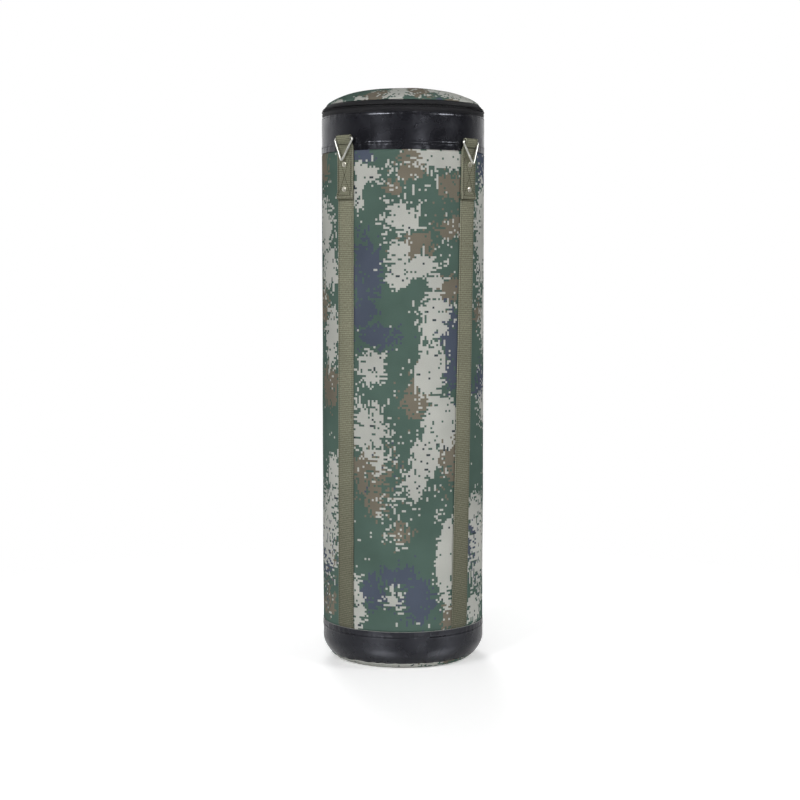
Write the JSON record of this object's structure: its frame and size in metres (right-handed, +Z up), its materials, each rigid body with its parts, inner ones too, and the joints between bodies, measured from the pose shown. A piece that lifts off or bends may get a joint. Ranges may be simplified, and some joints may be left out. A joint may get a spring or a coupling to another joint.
{
  "type": "hanging punching bag",
  "caption": "Upright cylindrical punching bag: printed canvas body, black leather ends, zipped domed lid, and sewn webbing side straps that carry swinging triangle rings to hang it from.",
  "frame": {"origin": "middle of the flat base, on the surface that the bag stands on", "axes": "+Z up along the bag's axis; -Y out through the front strap, +X close to the right strap"},
  "size_m": [0.3257, 0.326, 1.0509],
  "materials": {
    "printed_canvas": "woven canvas printed in pixel camouflage: light grey, green, brown and dark blue",
    "black_leather": "black synthetic leather, fine grain, satin",
    "olive_webbing": "ribbed olive webbing",
    "plated_wire": "bright zinc-nickel plate",
    "nickel_rivet": "nickel plate",
    "zip_tape": "black woven tape",
    "zip_coil": "black nylon coil",
    "zip_metal": "black enamelled die casting",
    "foam": "foam sheet",
    "textile_filling": "packed textile cuttings"
  },
  "bodies": {
    "bag": {"body_canvas": "printed_canvas", "top_collar": "black_leather", "bottom_cuff": "black_leather", "base_panel": "printed_canvas", "lid_panel": "printed_canvas", "foam_sleeve": "foam", "filling_core": "textile_filling", "base_pad": "foam", "top_pad": "foam", "zip_tape_lower": "zip_tape", "zip_tape_upper": "zip_tape", "zip_coil_lower": "zip_coil", "zip_coil_upper": "zip_coil", "zip_end_patch": "black_leather", "hanging_strap_front": "olive_webbing", "rivet_upper_front": "nickel_rivet", "rivet_lower_front": "nickel_rivet", "rivet_burr_upper_front": "nickel_rivet", "rivet_burr_lower_front": "nickel_rivet", "hanging_strap_right": "olive_webbing", "rivet_upper_right": "nickel_rivet", "rivet_lower_right": "nickel_rivet", "rivet_burr_upper_right": "nickel_rivet", "rivet_burr_lower_right": "nickel_rivet", "hanging_strap_back": "olive_webbing", "rivet_upper_back": "nickel_rivet", "rivet_lower_back": "nickel_rivet", "rivet_burr_upper_back": "nickel_rivet", "rivet_burr_lower_back": "nickel_rivet", "hanging_strap_left": "olive_webbing", "rivet_upper_left": "nickel_rivet", "rivet_lower_left": "nickel_rivet", "rivet_burr_upper_left": "nickel_rivet", "rivet_burr_lower_left": "nickel_rivet"},
    "ring_front": {"triangle_ring_front": "plated_wire"},
    "ring_right": {"triangle_ring_right": "plated_wire"},
    "ring_back": {"triangle_ring_back": "plated_wire"},
    "ring_left": {"triangle_ring_left": "plated_wire"},
    "zip_slider": {"zip_slider": "zip_metal"},
    "zip_pull": {"zip_pull": "zip_metal"}
  },
  "joints": [
    {"name": "ring_front_swing", "type": "hinge", "parent": "bag", "child": "ring_front", "pos_m": [0, -0.1555, 0.953], "axis": [-1, 0, 0], "range_deg": [0, 170]},
    {"name": "ring_right_swing", "type": "hinge", "parent": "bag", "child": "ring_right", "pos_m": [0.15521, 0.00949, 0.948], "axis": [0.061, -0.9981, 0], "range_deg": [0, 170]},
    {"name": "ring_back_swing", "type": "hinge", "parent": "bag", "child": "ring_back", "pos_m": [0, 0.1555, 0.9505], "axis": [1, 0, 0], "range_deg": [0, 170]},
    {"name": "ring_left_swing", "type": "hinge", "parent": "bag", "child": "ring_left", "pos_m": [-0.1555, 0, 0.9505], "axis": [0, 1, 0], "range_deg": [0, 170]},
    {"name": "zip_run", "type": "hinge", "parent": "bag", "child": "zip_slider", "pos_m": [0, 0, 1.0097], "axis": [0, 0, 1], "range_deg": [0, 300]},
    {"name": "zip_pull_flip", "type": "hinge", "parent": "zip_slider", "child": "zip_pull", "pos_m": [-0.14154, 0.05264, 1.01064], "axis": [-0.3288, 0.1223, -0.9364], "range_deg": [0, 170]}
  ]
}
